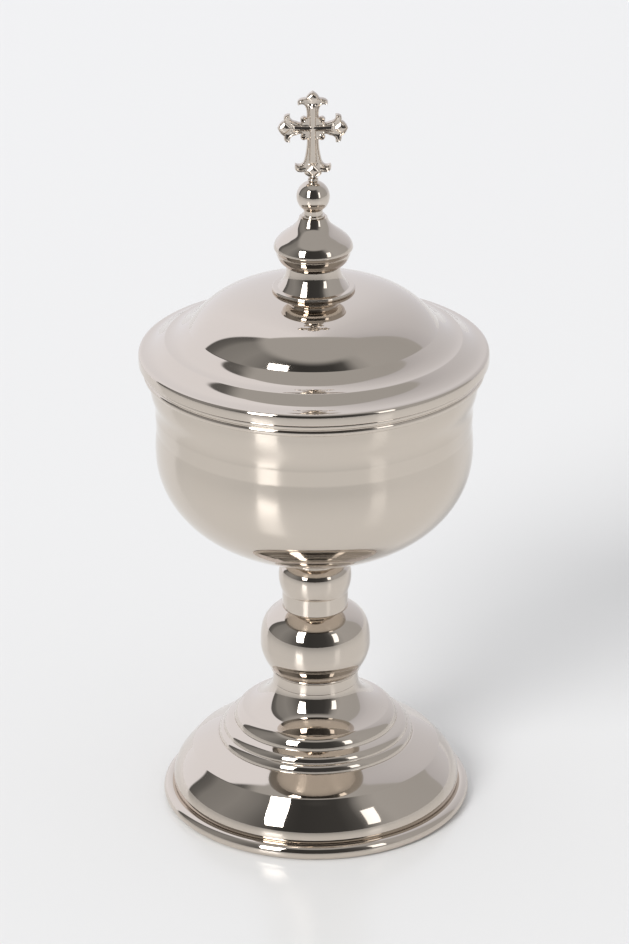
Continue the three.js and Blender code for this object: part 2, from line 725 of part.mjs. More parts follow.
addPiece(vessel, 'tie_nut', hexNut(TIE_NUT, rodHole), tieNutTop - TIE_NUT.height, STEEL, MILLED);

// Heights in the lid, from the face that rests on the cup.
const coveSeat = lidHeight + BASE_RING.height;
const onionSeat = coveSeat + COVE.height;
const ballSeat = onionSeat + onionHeight;
const crossCollarSeat = ballSeat + ballTop;
const crossMiddle = crossCollarSeat + CROSS_COLLAR.height + crossDepth;
const lidWasherSeat = lidHeight - LID.sheet - LID_WASHER.thickness;
const knobNutSeat = lidWasherSeat - KNOB_NUT.height;
const boltFoot = knobNutSeat - KNOB_BOLT.belowNut;
const boltLength = ballSeat + KNOB_BOLT.intoBall - boltFoot;

const cover = new THREE.Group();
cover.position.z = lidSeat;
addPiece(cover, 'lid', lid(), 0, NICKEL, POLISH);
addPiece(cover, 'lid_bezel', bezel(), 0, NICKEL, SATIN);
const baseRing = roundedRing(BASE_RING, boltHole, AROUND_STEM);
addPiece(cover, 'knob_base_ring', baseRing, lidHeight, NICKEL, POLISH);
addPiece(cover, 'knob_cove', knobCove(), coveSeat, NICKEL, POLISH);
addPiece(cover, 'knob_onion', onion(), onionSeat, NICKEL, POLISH);
addPiece(cover, 'knob_ball', ball(), ballSeat, NICKEL, POLISH);
const crossCollar = roundedRing(CROSS_COLLAR, pinHole, AROUND_SMALL);
addPiece(cover, 'cross_collar', crossCollar, crossCollarSeat, NICKEL, POLISH);
addPiece(cover, 'cross', cross(), crossMiddle, NICKEL, POLISH);
addPiece(cover, 'knob_bolt', rod(KNOB_BOLT.radius, boltLength), boltFoot, STEEL, MILLED);
addPiece(cover, 'lid_washer', lidWasher(), lidWasherSeat, STEEL, MILLED);
addPiece(cover, 'knob_nut', hexNut(KNOB_NUT, boltHole), knobNutSeat, STEEL, MILLED);

const coveredCup = new THREE.Group();
coveredCup.add(vessel, cover);

export default coveredCup;
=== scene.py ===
# %% [markdown]
# A covered cup on a foot, in mirror-polished nickel
#
# The real object is a set of turned and spun metal pieces, stacked on one axis: a bell-shaped foot, a
# stem with a pear-shaped knop, a wide cup, and a domed lid with a knob and a cast cross. A spinner makes
# such pieces by drawing one outline in metal while it turns. Blender has the same idea: one outline,
# swept round an axis. So nearly everything here starts as a list of radii and heights.
#
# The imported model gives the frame: every piece's place, and the two bodies, "vessel" and "cover", that it
# can ride on. The fine pieces made here stand for the frame's coarser ones, and stay where those are.

# %% Load the frame
import math

import bmesh
import bpy
import numpy as np
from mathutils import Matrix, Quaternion, Vector, geometry


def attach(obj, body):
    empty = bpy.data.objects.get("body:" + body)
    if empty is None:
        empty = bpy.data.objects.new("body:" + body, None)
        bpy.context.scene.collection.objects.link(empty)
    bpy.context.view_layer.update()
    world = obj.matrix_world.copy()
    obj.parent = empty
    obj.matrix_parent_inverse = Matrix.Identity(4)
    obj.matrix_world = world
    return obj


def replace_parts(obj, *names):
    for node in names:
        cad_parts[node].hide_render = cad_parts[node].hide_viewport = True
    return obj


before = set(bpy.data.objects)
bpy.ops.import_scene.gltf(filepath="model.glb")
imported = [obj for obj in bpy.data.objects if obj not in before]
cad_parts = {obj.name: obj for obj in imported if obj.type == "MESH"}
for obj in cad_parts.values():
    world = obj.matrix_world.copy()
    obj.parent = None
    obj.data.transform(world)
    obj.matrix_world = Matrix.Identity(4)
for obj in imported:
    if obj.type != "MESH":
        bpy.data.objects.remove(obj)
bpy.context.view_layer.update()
MM = 0.001

# %% [markdown]
# The camera
#
# The photograph was taken from above with a long lens. Where the camera stood was worked out from how
# round the cup's circles look at each height. A camera can be turned with Euler angles or with a
# quaternion: here it first tips down, then rolls a little about its own line of sight, which two
# quaternions say in the order in which it happens.

# %% Camera at the photograph's viewing angle
CAMERA_PLACE = Vector((0.0, -1.445, 0.767))
CAMERA_TIP = math.radians(66.34)
CAMERA_ROLL = math.radians(-0.286)
CAMERA_LENS = 160.4

camera_data = bpy.data.cameras.new("camera")
camera_data.lens = CAMERA_LENS
camera = bpy.data.objects.new("camera", camera_data)
camera.location = CAMERA_PLACE
tip = Quaternion((1, 0, 0), CAMERA_TIP)
roll = Quaternion((0, 0, 1), CAMERA_ROLL)
camera.rotation_euler = (tip @ roll).to_euler()
bpy.context.scene.collection.objects.link(camera)
bpy.context.scene.camera = camera
print("camera looks down by", round(90 - math.degrees(CAMERA_TIP), 2), "degrees")

# %% [markdown]
# Outlines
#
# Turners' profiles are made of a few kinds of line: a free curve between two points, a stretch of a round,
# and straight cuts. Such a profile could be drawn by hand as a Blender curve. Written as numbers it is
# exact, and a size can be changed later. Lengths are in millimetres, and a point is a radius and a height.
# A slope is in degrees, 0 outward and 90 up, and fullness says how far a curve keeps to its end slopes.

# %% The lines of an outline
CURVE_STEPS = 28
SAME_POINT = 0.005


def sweep(start, end, leaving, arriving, fullness, steps=CURVE_STEPS):
    """A smooth line from start to end that leaves and arrives with the two slopes."""
    pull = math.dist(start, end) * fullness
    out, back = math.radians(leaving), math.radians(arriving)
    first = (start[0] + pull * math.cos(out), start[1] + pull * math.sin(out))
    second = (end[0] - pull * math.cos(back), end[1] - pull * math.sin(back))
    points = []
    for i in range(steps + 1):
        t = i / steps
        a, b, c, d = (1 - t) ** 3, 3 * t * (1 - t) ** 2, 3 * t * t * (1 - t), t ** 3
        points.append(tuple(a * start[k] + b * first[k] + c * second[k] + d * end[k] for k in (0, 1)))
    return points


def bend(start, pull, end, steps):
    """A simple curve from start to end, drawn towards pull."""
    points = []
    for i in range(steps + 1):
        t = i / steps
        a, b, c = (1 - t) ** 2, 2 * t * (1 - t), t * t
        points.append(tuple(a * start[k] + b * pull[k] + c * end[k] for k in (0, 1)))
    return points


def oval(centre, across, up, start_angle, end_angle, steps=CURVE_STEPS):
    """A stretch of an oval between two angles in degrees, 0 outward and 90 up."""
    points = []
    for i in range(steps + 1):
        angle = math.radians(start_angle + (end_angle - start_angle) * i / steps)
        points.append((centre[0] + across * math.cos(angle), centre[1] + up * math.sin(angle)))
    return points


def joined(*stretches):
    """One outline from several stretches and points, without doubled points."""
    line = []
    for stretch in stretches:
        for point in stretch if isinstance(stretch, list) else [stretch]:
            if not line or math.dist(line[-1], point) > SAME_POINT:
                line.append(point)
    return line


print("a quarter round in", len(oval((0, 0), 1, 1, 0, 90)), "points")

# %% [markdown]
# Softened edges
#
# No edge on polished metal is truly sharp, because the polishing wheel rounds each one a little. Those
# small rounds catch light as thin bright lines, and without them a mirror finish looks like paper. A bevel
# modifier could round them, but on an outline it is simpler and cleaner: each corner is cut off on both
# sides and bridged by a small curve before the outline is swept.

# %% Round the corners of an outline
CORNER_ANGLE = math.radians(14)
EDGE_STEPS = 8
MOST_CUT = 0.45


def turn_at(line, i):
    """How sharply an outline turns at one of its points."""
    before = Vector(line[i]) - Vector(line[i - 1])
    after = Vector(line[i + 1]) - Vector(line[i])
    return before.angle(after, 0.0)


def cut_back(line, size):
    """The outline without its first stretch of that length."""
    left = size
    for i in range(len(line) - 1):
        span = math.dist(line[i], line[i + 1])
        if span > left:
            share = left / span
            start = tuple(line[i][k] + (line[i + 1][k] - line[i][k]) * share for k in (0, 1))
            return [start] + line[i + 1:]
        left -= span
    return line[-1:]


def softened(line, radius):
    """The outline with each of its corners replaced by a small curve."""
    corners = [i for i in range(1, len(line) - 1) if turn_at(line, i) > CORNER_ANGLE]
    cuts = [0] + corners + [len(line) - 1]
    pieces = [line[a:b + 1] for a, b in zip(cuts, cuts[1:])]
    result = []
    for n, piece in enumerate(pieces):
        corner = piece[0]
        cut = min(radius, sum(math.dist(p, q) for p, q in zip(piece, piece[1:])) * MOST_CUT)
        if n > 0:
            piece = cut_back(piece, cut)
        if n < len(pieces) - 1:
            piece = cut_back(piece[::-1], cut)[::-1]
        if n > 0:
            result += bend(result[-1], corner, piece[0], EDGE_STEPS)[1:-1]
        result += piece
    return result


print("edges are rounded in", EDGE_STEPS, "steps")

# %% [markdown]
# The inside of a sheet
#
# A spun sheet is about equally thick everywhere, so its inside follows its outside. A Solidify modifier
# could thicken a finished surface. Done on the outline, it is easy to see where the line bends more tightly
# than the sheet is thick. The inside would fold over itself there, so those points are left out.

# %% The other side of a sheet
LEAST_MITRE = 0.6
KEPT_THICKNESS = 0.97


def inner_side(line, sheet):
    """The other side of a sheet of metal, for an outline that has its inside on its left."""
    points = np.array(line)
    steps = np.diff(points, axis=0)
    steps /= np.linalg.norm(steps, axis=1)[:, None]
    before = np.vstack([steps[:1], steps])
    after = np.vstack([steps, steps[-1:]])
    middle = before + after
    middle /= np.linalg.norm(middle, axis=1)[:, None]
    mitre = sheet / np.maximum((middle * before).sum(1), LEAST_MITRE)
    moved = points + np.column_stack([-middle[:, 1], middle[:, 0]]) * mitre[:, None]
    keep = []
    for i, point in enumerate(moved):
        span = points[1:] - points[:-1]
        share = np.clip(((point - points[:-1]) * span).sum(1) / (span ** 2).sum(1), 0, 1)
        nearest = np.linalg.norm(points[:-1] + span * share[:, None] - point, axis=1).min()
        if i in (0, len(moved) - 1) or nearest > sheet * KEPT_THICKNESS:
            keep.append(tuple(point))
    return keep


straight_wall = [(10.0, 0.0), (10.0, 5.0)]
print("a wall of radius 10 in sheet of 1 has its inside at", inner_side(straight_wall, 1.0)[0][0])

# %% [markdown]
# From outline to metal
#
# Blender's Screw modifier or Spin tool can sweep an outline round an axis. Here the mesh is written
# directly, ring by ring, because then the number of faces round the axis, the closed ends and the sharp
# corners are all in the maker's hands. Mirror metal shows every facet in its reflections, so the wide
# pieces have 288 faces round, and the shading is smooth everywhere but at real corners.

# %% Sweep an outline round the axis
AROUND_WIDE, AROUND_NARROW, AROUND_BALL, AROUND_BEAD, AROUND_PIN = 288, 192, 128, 96, 48
ON_AXIS = 1e-6


def turned_mesh(name, line, around):
    """A mesh swept round the axis. An outline that starts and ends on the axis is closed there, and any
    other joins its own start, as a ring."""
    work = bmesh.new()
    angles = [2 * math.pi * i / around for i in range(around)]
    rings = []
    for radius, height in line:
        if radius < ON_AXIS:
            places = [(0, 0)]
        else:
            places = [(radius * math.cos(a), radius * math.sin(a)) for a in angles]
        rings.append([work.verts.new((x * MM, y * MM, height * MM)) for x, y in places])
    closed = len(rings[0]) == 1 and len(rings[-1]) == 1
    for low, high in zip(rings, rings[1:] if closed else rings[1:] + rings[:1]):
        for i in range(around):
            j = (i + 1) % around
            if len(low) == 1:
                work.faces.new((low[0], high[j], high[i]))
            elif len(high) == 1:
                work.faces.new((low[i], low[j], high[0]))
            else:
                work.faces.new((low[i], low[j], high[j], high[i]))
    return finished_mesh(name, work, CORNER_ANGLE)


def finished_mesh(name, work, sharp_angle):
    """A mesh from bmesh work, shaded smooth but at its corners."""
    bmesh.ops.recalc_face_normals(work, faces=work.faces)
    mesh = bpy.data.meshes.new(name)
    work.to_mesh(mesh)
    work.free()
    mesh.shade_smooth()
    mesh.set_sharp_from_angle(angle=sharp_angle)
    return mesh


print("faces round the axis:", AROUND_WIDE, "on wide pieces,", AROUND_NARROW, "on narrow ones")

# %% Outlines of solid pieces and of sheet
SHEET_EDGE = 0.25


def raised(line, height):
    """The outline, moved up."""
    return [(radius, z + height) for radius, z in line]


def bore(line, hole):
    """The outline closed by a straight hole through the middle."""
    return [(hole, line[0][1])] + line + [(hole, line[-1][1])]


def spun(line, sheet, edge=SHEET_EDGE):
    """A spun sheet: the outline with its edges softened, and its inner side back again."""
    return softened(line, edge) + inner_side(line, sheet)[::-1]


print("edges of sheet are rounded over", SHEET_EDGE, "mm")

# %% [markdown]
# Polished nickel
#
# Nickel is a warm grey metal. Polished on a wheel it is a mirror, but not a perfect one: the sheet keeps
# faint rings from the spinning, the wheel leaves hair-thin lines that run round the piece, and fingers and
# cloths leave soft smears that blur the reflection a little here and there. The base colour could be
# painted, but on bare metal nearly all that is seen is reflection. So the material keeps one colour with
# only a slight warm drift, and puts its detail into roughness and a very fine bump.

# %% Noise and bump for the metals
def noise(tree, vector, scale, detail, fineness=0.5):
    """A soft random pattern over the places that vector gives."""
    node = tree.nodes.new("ShaderNodeTexNoise")
    node.inputs["Scale"].default_value = scale
    node.inputs["Detail"].default_value = detail
    node.inputs["Roughness"].default_value = fineness
    tree.links.new(vector, node.inputs["Vector"])
    return node.outputs["Fac"]


def relief_of(tree, height, depth, under=None):
    """A bump of that depth in metres, laid over another one."""
    node = tree.nodes.new("ShaderNodeBump")
    node.inputs["Strength"].default_value = 1.0
    node.inputs["Distance"].default_value = depth
    tree.links.new(height, node.inputs["Height"])
    if under:
        tree.links.new(under, node.inputs["Normal"])
    return node.outputs["Normal"]


def round_the_axis(tree, place):
    """Places that are the same all round the axis: across is the radius, and up is the height."""
    split = tree.nodes.new("ShaderNodeSeparateXYZ")
    flat = tree.nodes.new("ShaderNodeCombineXYZ")
    radius = tree.nodes.new("ShaderNodeVectorMath")
    rings = tree.nodes.new("ShaderNodeCombineXYZ")
    radius.operation = "LENGTH"
    tree.links.new(place, split.inputs[0])
    tree.links.new(split.outputs["X"], flat.inputs["X"])
    tree.links.new(split.outputs["Y"], flat.inputs["Y"])
    tree.links.new(flat.outputs[0], radius.inputs[0])
    tree.links.new(radius.outputs["Value"], rings.inputs["X"])
    tree.links.new(split.outputs["Z"], rings.inputs["Y"])
    return rings.outputs[0]


print("helpers for the metals: noise, bump and rings")

# %% A turned metal
SMEAR_SCALE, SMEAR_DETAIL, SMEAR_FINENESS = 38, 4, 0.55
SMEAR_START, SMEAR_FULL = 0.35, 0.75
WAVE_SCALE, WAVE_DETAIL, HAIR_DETAIL = 24, 1, 3
QUARTER_TURN = 0.25


def metal(name, colour, roughness, smear, ring_pitch, ring_depth, wave_depth, tint, grooves=0.0):
    """A turned metal: roughness with soft smears, hair lines round the axis and a slow wave in the sheet.
    Where grooves is above 0, fine grooves round the axis blur the mirror along the outline only."""
    material = bpy.data.materials.new(name)
    material.use_nodes = True
    tree = material.node_tree
    link = tree.links.new
    shader = tree.nodes["Principled BSDF"]
    shader.inputs["Metallic"].default_value = 1.0
    if grooves > 0:
        shader.inputs["Anisotropic"].default_value = grooves
        shader.inputs["Anisotropic Rotation"].default_value = QUARTER_TURN
        tangent = tree.nodes.new("ShaderNodeTangent")
        tangent.direction_type = "RADIAL"
        tangent.axis = "Z"
        link(tangent.outputs["Tangent"], shader.inputs["Tangent"])

    place = tree.nodes.new("ShaderNodeTexCoord").outputs["Object"]
    smears = noise(tree, place, SMEAR_SCALE, SMEAR_DETAIL, SMEAR_FINENESS)
    blur = tree.nodes.new("ShaderNodeMapRange")
    blur.inputs["From Min"].default_value = SMEAR_START
    blur.inputs["From Max"].default_value = SMEAR_FULL
    blur.inputs["To Min"].default_value = roughness
    blur.inputs["To Max"].default_value = roughness + smear
    link(smears, blur.inputs["Value"])
    link(blur.outputs["Result"], shader.inputs["Roughness"])

    drift = tree.nodes.new("ShaderNodeMix")
    drift.data_type = "RGBA"
    drift.inputs["A"].default_value = colour
    drift.inputs["B"].default_value = tuple(c * t for c, t in zip(colour[:3], tint)) + (1,)
    link(smears, drift.inputs["Factor"])
    link(drift.outputs["Result"], shader.inputs["Base Color"])

    hair = noise(tree, round_the_axis(tree, place), 1 / ring_pitch, HAIR_DETAIL)
    slow = relief_of(tree, noise(tree, place, WAVE_SCALE, WAVE_DETAIL), wave_depth)
    link(relief_of(tree, hair, ring_depth, slow), shader.inputs["Normal"])
    return material


print("a turned metal blurs in smears", round(1000 / SMEAR_SCALE), "mm wide")

# %% Nickel and steel
GREY_NICKEL = (0.66, 0.598, 0.533, 1)
BARE_STEEL = (0.56, 0.56, 0.57, 1)

polished = metal("polished_nickel", GREY_NICKEL, 0.025, 0.05, 0.0006, 4e-7, 1.2e-5, (1.0, 0.985, 0.97))
satin = metal("satin_nickel", GREY_NICKEL, 0.05, 0.06, 0.0005, 6e-7, 1.6e-5, (1.0, 0.99, 0.97), grooves=0.4)
steel = metal("brushed_steel", BARE_STEEL, 0.32, 0.12, 0.0003, 3e-6, 0.0, (0.95, 0.95, 0.97))
print("metals:", polished.name, satin.name, steel.name)

# %% [markdown]
# A piece in its place
#
# Real pieces are handed from bench to bench: turned, polished, then fitted. Here a finished mesh becomes an
# object, is told which body it rides on and which of the object's finishes it takes, and the piece of the
# frame that it stands for is hidden, but stays in the scene. That coarse piece is then hidden, but stays
# where collisions are worked out.


def add_piece(name, mesh, body, finish):
    """A new piece that rides on its body and takes its finish."""
    piece = bpy.data.objects.new(name, mesh)
    bpy.context.scene.collection.objects.link(piece)
    mesh.materials.append(finish)
    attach(piece, body)
    print(name, "has", len(mesh.vertices), "points and rides on", body)
    return piece


def turned(name, line, body, node, finish=polished, around=AROUND_WIDE):
    """A turned piece that stands for a node of the frame."""
    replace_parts(add_piece(name, turned_mesh(name, line, around), body, finish), node)


# %% [markdown]
# The foot
#
# A spun bell: an upright wall that bends over into a slope, two quarter-round steps, a bigger round, and a
# wide cove that sweeps up to the stem. Its edge stands on the ledge of a drawn bead ring, and the ring is
# what touches the table. Both are outlines, so both are swept. The sheet is hollow below, with its inner
# side a sheet's thickness inside, because the object can be picked up and looked at from there.

# %% Sizes that several pieces share
ROD_HOLE = 3.2
BOLT_HOLE = 2.2
PIN_HOLE = 1.0
NECK = 16.4
SEAT_RADIUS = 10.3
FOOT_TOP = 48.5
KNOP_SEAT = 53.8
COLLAR_SEAT = 79.2
CUP_SEAT = 103.3
TURNED_EDGE = 0.2
print("the cup sits", CUP_SEAT, "mm up")

# %% Foot ring
RING_RADIUS, RING_TUBE, RING_FLAT, RING_LEDGE = 58.8, 2.8, 1.6, 2.4
FOOT_WALL, FOOT_SHEET = 54.6, 1.2
RING_GAP = 0.1
RING_STEPS = 48

half_flat = RING_FLAT / 2
ring_centre = (RING_RADIUS - RING_TUBE, math.sqrt(RING_TUBE ** 2 - half_flat ** 2))
rebate = FOOT_WALL + RING_GAP
flat_angle = -math.degrees(math.acos(half_flat / RING_TUBE))
rebate_angle = math.degrees(math.acos((rebate - ring_centre[0]) / RING_TUBE))
ring_inner = FOOT_WALL - FOOT_SHEET - 2 * RING_GAP
ring_bead = oval(ring_centre, RING_TUBE, RING_TUBE, flat_angle, rebate_angle, RING_STEPS)
ring_line = [(ring_inner, 0)] + ring_bead + [(rebate, RING_LEDGE), (ring_inner, RING_LEDGE)]
turned("foot_bead_ring", ring_line, "vessel", "foot_rim_ring")

# %% Foot bell
WALL_FOOT = (FOOT_WALL, 5.2)
WALL_WIDEST = (54.9, 7.8)
SLOPE_START = (47.3, 20.4)
SLOPE_END = (37.7, 25.7)
ROUND_TOP = (28.0, 36.9)
COVE_DEEPEST = (20.6, 40.8)
foot_line = joined(
    (FOOT_WALL, RING_LEDGE),
    sweep(WALL_FOOT, WALL_WIDEST, 70, 90, 0.3, 10),
    sweep(WALL_WIDEST, SLOPE_START, 90, 132, 0.33, 40),
    sweep(SLOPE_START, SLOPE_END, 147, 152, 0.33, 20),
    sweep((37.3, 25.7), (35.5, 28.6), 95, 148, 0.42, 20),
    sweep((35.3, 28.6), (33.6, 31.2), 95, 148, 0.42, 20),
    sweep((31.3, 32.2), ROUND_TOP, 95, 150, 0.42, 24),
    sweep(ROUND_TOP, COVE_DEEPEST, 164, 139, 0.34, 24),
    sweep(COVE_DEEPEST, (NECK, FOOT_TOP), 139, 92, 0.36, 24),
    (ROD_HOLE, FOOT_TOP),
)
turned("foot_bell", spun(foot_line, FOOT_SHEET), "vessel", "foot")

# %% [markdown]
# The stem
#
# Three turned pieces are threaded on one rod: a short collar with a small round fillet, the pear-shaped
# knop, fullest below its middle, and the neck that swells into a round under the cup. They are solid with
# a hole through the middle, which the rod fills.

# %% Lower collar
FILLET_HEIGHT, FILLET_HALF, COLLAR_DIP, COLLAR_EDGE = 4.7, 0.6, 0.2, 0.15
collar_line = joined(
    (NECK, 0), (NECK - COLLAR_DIP, 1.6), (NECK, FILLET_HEIGHT - FILLET_HALF),
    oval((NECK, FILLET_HEIGHT), FILLET_HALF, FILLET_HALF, -90, 90, 16),
)
collar_line = bore(softened(collar_line, COLLAR_EDGE), ROD_HOLE)
turned("stem_collar", raised(collar_line, FOOT_TOP), "vessel", "stem_lower_collar", around=AROUND_NARROW)

# %% Knop
KNOP_FULLEST = (20.9, 10.2)
knop_line = joined(
    sweep((17.0, 0), KNOP_FULLEST, 54, 90, 0.33, 40),
    sweep(KNOP_FULLEST, (12.5, 25.4), 90, 153, 0.46, 50),
)
turned("pear_knop", raised(bore(knop_line, ROD_HOLE), KNOP_SEAT), "vessel", "knop", around=AROUND_NARROW)

# %% Upper collar
COLLAR_FOOT, COLLAR_FULLEST, COLLAR_SHOULDER = (12.5, 6.4), (13.8, 12.4), (10.9, 18.5)
BOSS_HOLE, BOSS_FLOOR = 7.7, 12.0
collar_height = CUP_SEAT - COLLAR_SEAT
upper_line = joined(
    (ROD_HOLE, 0), (COLLAR_FOOT[0], 0),
    sweep(COLLAR_FOOT, COLLAR_FULLEST, 70, 90, 0.36, 30),
    sweep(COLLAR_FULLEST, COLLAR_SHOULDER, 90, 155, 0.43, 36),
    (SEAT_RADIUS, COLLAR_SHOULDER[1]), (SEAT_RADIUS, collar_height), (BOSS_HOLE, collar_height),
    (BOSS_HOLE, BOSS_FLOOR), (ROD_HOLE, BOSS_FLOOR),
)
upper_line = raised(softened(upper_line, TURNED_EDGE), COLLAR_SEAT)
turned("cup_neck", upper_line, "vessel", "stem_upper_collar", around=AROUND_NARROW)

# %% [markdown]
# The cup
#
# One spun sheet: a full oval belly, an upright side, a shallow waist with a soft crease at each edge, and a
# flare up to the mouth. The belly is fuller at its corner than an ellipse, so it is drawn as a
# superellipse. The side stands nearly upright, so it shows the table, and in it the pale streak that the
# tall lamp leaves on the table's surface. A wide thin sheet is polished across a fine grain, which blurs
# that streak a little along its height. Anisotropic shading does this blur.

# %% Belly of the cup
BELLY_RADIUS, BELLY_DROP, BELLY_POWER, BELLY_STEPS = 59.4, 42.4, 2.13, 72

seat_share = (SEAT_RADIUS / BELLY_RADIUS) ** BELLY_POWER
belly_depth = BELLY_DROP * (1 - seat_share) ** (1 / BELLY_POWER)
seat_angle = math.acos(math.sqrt(seat_share))
belly = []
for i in range(BELLY_STEPS + 1):
    angle = seat_angle * (1 - i / BELLY_STEPS)
    belly.append((BELLY_RADIUS * math.cos(angle) ** (2 / BELLY_POWER),
                  belly_depth - BELLY_DROP * math.sin(angle) ** (2 / BELLY_POWER)))
print("the belly is", round(belly_depth, 2), "mm deep")

# %% Cup
CUP_SHEET, CUP_EDGE, MOUTH_RADIUS = 1.2, 0.3, 61.1
SIDE_HEIGHT, WAIST_HEIGHT, FLARE_HEIGHT, MOUTH_HEIGHT = 8.6, 5.7, 12.6, 7.8
WAIST_RADIUS, WAIST_LEAN = 58.95, 0.3

side_top = belly_depth + SIDE_HEIGHT
waist_top = side_top + WAIST_HEIGHT
flare_top = waist_top + FLARE_HEIGHT
cup_height = flare_top + MOUTH_HEIGHT
waist_low = (WAIST_RADIUS, side_top)
waist_high = (WAIST_RADIUS + WAIST_LEAN, waist_top)
cup_line = joined(
    (0, 0), (SEAT_RADIUS, 0), belly,
    sweep((BELLY_RADIUS, belly_depth), waist_low, 90, 94, 0.4, 20),
    sweep(waist_low, waist_high, 87, 87, 0.33, 14),
    sweep(waist_high, (MOUTH_RADIUS, flare_top), 93, 89, 0.5, 40),
    (MOUTH_RADIUS, cup_height),
)
turned("cup_bowl", raised(spun(cup_line, CUP_SHEET, CUP_EDGE), CUP_SEAT), "vessel", "cup", satin)
LID_SEAT = CUP_SEAT + cup_height
print("the cup is", round(cup_height, 2), "mm high")

# %% Mouth ring
RIM_WIDTH, RIM_HEIGHT, RIM_BEAD, RIM_NOTCH, RIM_GAP = 2.3, 4.9, 0.9, 60, 0.1
rim_inner = MOUTH_RADIUS + RIM_GAP
bead_middle = rim_inner + RIM_WIDTH - RIM_BEAD
quarter = RIM_HEIGHT / 4
rim_line = (
    [(rim_inner, 0)]
    + oval((bead_middle, quarter), RIM_BEAD, quarter, -90, RIM_NOTCH, 24)
    + oval((bead_middle, 3 * quarter), RIM_BEAD, quarter, -RIM_NOTCH, 90, 24)
    + [(rim_inner, RIM_HEIGHT)]
)
turned("mouth_ring", raised(rim_line, LID_SEAT - RIM_HEIGHT), "vessel", "cup_rim_ring")

# %% [markdown]
# The lid
#
# A second spun sheet. From the edge inward it has a small rounded edge, two shallow coves one inside the
# other, and the dome. Inside it sits an angle ring: one leg rests on the mouth, and the other drops inside
# and keeps the lid in its place.

# %% Lid
LID_RADIUS, LID_SHEET, LID_EDGE, LID_EASE, LID_HEIGHT = 65.1, 1.2, 2.0, 0.3, 27.6
OUTER_COVE, INNER_COVE, DOME_FOOT = (63.6, 4.4), (55.2, 8.6), (46.2, 13.2)
lid_line = joined(
    (LID_RADIUS - LID_EASE, 0), (LID_RADIUS, LID_EASE),
    sweep((LID_RADIUS, LID_EDGE), OUTER_COVE, 92, 172, 0.5, 24),
    sweep(OUTER_COVE, INNER_COVE, 174, 146, 0.4, 36),
    sweep(INNER_COVE, DOME_FOOT, 174, 144, 0.4, 36),
    sweep(DOME_FOOT, (15.4, LID_HEIGHT), 126, 176, 0.38, 72),
    (BOLT_HOLE, LID_HEIGHT),
)
turned("lid_dome", raised(spun(lid_line, LID_SHEET), LID_SEAT), "cover", "lid")

# %% Angle ring inside the lid
ANGLE_SHEET, ANGLE_DEPTH, ANGLE_PLAY, ANGLE_GAP = 1.2, 8, 0.6, 0.1
skirt = MOUTH_RADIUS - CUP_SHEET - ANGLE_PLAY
angle_inner = skirt - ANGLE_SHEET
angle_outer = LID_RADIUS - LID_EASE - LID_SHEET - ANGLE_GAP
angle_line = [(angle_inner, -ANGLE_DEPTH), (skirt, -ANGLE_DEPTH), (skirt, 0), (angle_outer, 0),
              (angle_outer, ANGLE_SHEET), (angle_inner, ANGLE_SHEET)]
angle_line = raised(softened(angle_line, TURNED_EDGE), LID_SEAT)
turned("lid_angle_ring", angle_line, "cover", "lid_bezel", satin)

# %% [markdown]
# The knob
#
# From below: a flat ring, a cove, an onion with an undercut and a small edge, and a ball on a little disc.
# Each is turned on its own and they are threaded on one bolt.

# %% Knob ring and cove
LID_TOP = LID_SEAT + LID_HEIGHT
BASE_HEIGHT, BASE_RADIUS, BASE_ROUND = 1.5, 14.8, 0.6
COVE_HEIGHT = 7.9

base_line = oval((BASE_RADIUS, BASE_HEIGHT / 2), BASE_ROUND, BASE_HEIGHT / 2, -90, 90, 20)
base_line = raised(bore(base_line, BOLT_HOLE), LID_TOP)
turned("knob_foot", base_line, "cover", "knob_base_ring", around=AROUND_NARROW)

cove_line = sweep((13.2, 0), (9.9, COVE_HEIGHT), 125, 95, 0.5, 36)
cove_line = raised(bore(cove_line, BOLT_HOLE), LID_TOP + BASE_HEIGHT)
turned("knob_hollow", cove_line, "cover", "knob_cove", around=AROUND_NARROW)

# %% Onion
ONION_SEAT = LID_TOP + BASE_HEIGHT + COVE_HEIGHT
ONION_HEIGHT = 19.0
ONION_TURN = (11.2, 12.3)
onion_line = joined(
    sweep((9.6, 0), (13.8, 5.7), 25, 82, 0.38, 30),
    sweep((14.6, 7.1), ONION_TURN, 93, 140, 0.38, 30),
    sweep(ONION_TURN, (5.1, ONION_HEIGHT), 140, 105, 0.40, 40),
)
onion_line = raised(bore(softened(onion_line, TURNED_EDGE), BOLT_HOLE), ONION_SEAT)
turned("onion", onion_line, "cover", "knob_onion", around=AROUND_NARROW)

# %% Ball
BALL_SEAT = ONION_SEAT + ONION_HEIGHT
BALL_RADIUS, BALL_CENTRE = 6.1, 7.787
DISC_RADIUS, DISC_HEIGHT, BALL_NECK, BALL_FLAT = 4.3, 0.9, 3.5, 1.7
BOLT_DEPTH = 7.2
BEAD_HEIGHT, PIN_DEPTH, PIN_GAP = 1.4, 3.4, 0.2

ball_top = BALL_CENTRE + math.sqrt(BALL_RADIUS ** 2 - BALL_FLAT ** 2)
ball_low = BALL_CENTRE - math.sqrt(BALL_RADIUS ** 2 - BALL_NECK ** 2)
neck_angle = -math.degrees(math.acos(BALL_NECK / BALL_RADIUS))
flat_top_angle = math.degrees(math.acos(BALL_FLAT / BALL_RADIUS))
pin_floor = ball_top + BEAD_HEIGHT - PIN_DEPTH - PIN_GAP
ball_line = joined(
    (0, BOLT_DEPTH), (BOLT_HOLE, BOLT_DEPTH), (BOLT_HOLE, 0), (DISC_RADIUS, 0), (DISC_RADIUS, DISC_HEIGHT),
    (BALL_NECK, DISC_HEIGHT), (BALL_NECK, ball_low),
    oval((0, BALL_CENTRE), BALL_RADIUS, BALL_RADIUS, neck_angle, flat_top_angle, 72),
    (PIN_HOLE, ball_top), (PIN_HOLE, pin_floor), (0, pin_floor),
)
